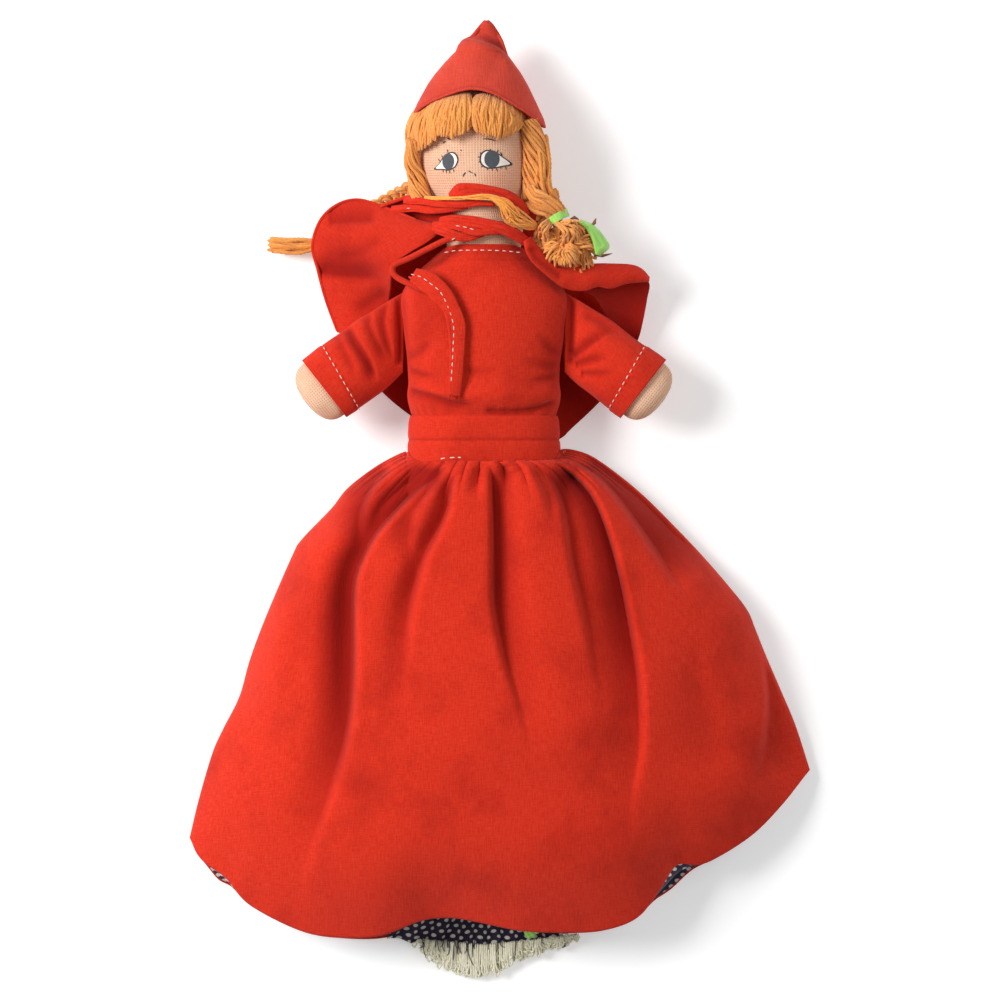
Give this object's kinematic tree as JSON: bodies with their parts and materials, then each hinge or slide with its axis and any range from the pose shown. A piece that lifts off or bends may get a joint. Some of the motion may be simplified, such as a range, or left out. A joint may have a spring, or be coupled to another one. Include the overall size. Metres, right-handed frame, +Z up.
{
  "type": "topsy turvy doll",
  "caption": "Double-ended rag doll lying on its back, a red dress at one end and a lined skirt that lifts to show a second doll at the other.",
  "frame": {"origin": "middle of the doll's bounding box, on the table under it", "axes": "+Z up from the table towards the faces, +Y along the doll towards the red doll's head, +X to the right seen from above"},
  "size_m": [0.229, 0.353, 0.0474],
  "materials": {
    "red_cotton": "plain-woven bright red cotton, matt, slightly felted by handling",
    "faded_red_cotton": "the same red cotton, paler and more worn on the cap",
    "pin_dot_cotton": "navy cotton lawn printed with small off-white pin dots",
    "muslin": "coarse flesh-coloured muslin over soft stuffing",
    "orange_yarn": "soft two-ply orange yarn",
    "green_satin": "narrow bright green satin ribbon",
    "cream_lace": "looped cream cotton lace"
  },
  "bodies": {
    "doll": {"double_ended_torso": "muslin", "red_bodice": "red_cotton", "hidden_bodice": "pin_dot_cotton", "red_waistband": "red_cotton", "hidden_waistband": "pin_dot_cotton", "red_head": "muslin", "hidden_head": "muslin", "red_back_hair": "orange_yarn", "hidden_back_hair": "orange_yarn", "red_pointed_cap": "faded_red_cotton", "red_fringe_left": "orange_yarn", "red_fringe_right": "orange_yarn", "red_side_hair_left": "orange_yarn", "red_side_hair_right": "orange_yarn", "skirt_back": "red_cotton", "skirt_lining_back": "pin_dot_cotton", "cape_binding_upper": "red_cotton", "cape_binding_lower": "red_cotton", "hidden_cap_crown": "pin_dot_cotton", "hidden_fringe_left": "orange_yarn", "hidden_fringe_right": "orange_yarn", "hidden_cap_frill": "pin_dot_cotton", "hidden_cap_lace": "cream_lace", "hidden_cap_ribbon": "green_satin"},
    "skirt_flap": {"skirt_front": "red_cotton", "skirt_lining_front": "pin_dot_cotton"},
    "cape_cloth": {"cape": "red_cotton"},
    "tie_end": {"cape_tie_end": "red_cotton"},
    "arm_red_left": {"red_sleeve_left": "red_cotton", "red_arm_left": "muslin"},
    "arm_red_right": {"red_sleeve_right": "red_cotton", "red_arm_right": "muslin"},
    "arm_hidden_left": {"hidden_sleeve_left": "pin_dot_cotton", "hidden_arm_left": "muslin"},
    "arm_hidden_right": {"hidden_sleeve_right": "pin_dot_cotton", "hidden_arm_right": "muslin"},
    "plait_right": {"red_plait_right": "orange_yarn", "red_ribbon_right": "green_satin", "red_tassel_right": "orange_yarn"},
    "plait_left": {"red_plait_left": "orange_yarn", "red_ribbon_left": "green_satin", "red_tassel_left": "orange_yarn"}
  },
  "joints": [
    {"name": "skirt_lift", "type": "hinge", "parent": "doll", "child": "skirt_flap", "pos_m": [-0.0056, 0.0156, 0.0376], "axis": [-1, 0, 0], "range_deg": [0, 75]},
    {"name": "cape_swing", "type": "hinge", "parent": "doll", "child": "cape_cloth", "pos_m": [-0.0056, 0.0996, 0.016], "axis": [1, 0, 0], "range_deg": [0, 30]},
    {"name": "tie_end_lift", "type": "hinge", "parent": "doll", "child": "tie_end", "pos_m": [-0.0229, 0.0766, 0.0333], "axis": [-1, 0, 0], "range_deg": [0, 75]},
    {"name": "red_shoulder_left", "type": "hinge", "parent": "doll", "child": "arm_red_left", "pos_m": [-0.0379, 0.0615, 0.02], "axis": [0, 1, 0], "range_deg": [0, 70]},
    {"name": "red_shoulder_right", "type": "hinge", "parent": "doll", "child": "arm_red_right", "pos_m": [0.0267, 0.0615, 0.02], "axis": [0, -1, 0], "range_deg": [0, 70]},
    {"name": "hidden_shoulder_left", "type": "hinge", "parent": "doll", "child": "arm_hidden_left", "pos_m": [-0.0379, -0.0303, 0.0178], "axis": [0, 1, 0], "range_deg": [0, 12]},
    {"name": "hidden_shoulder_right", "type": "hinge", "parent": "doll", "child": "arm_hidden_right", "pos_m": [0.0267, -0.0303, 0.0178], "axis": [0, -1, 0], "range_deg": [0, 12]},
    {"name": "plait_swing_right", "type": "hinge", "parent": "doll", "child": "plait_right", "pos_m": [0.0154, 0.1306, 0.0265], "axis": [0, 0, 1], "range_deg": [0, 25]},
    {"name": "plait_swing_left", "type": "hinge", "parent": "doll", "child": "plait_left", "pos_m": [-0.032, 0.117, 0.013], "axis": [0, 0, -1], "range_deg": [-4, 15]}
  ]
}
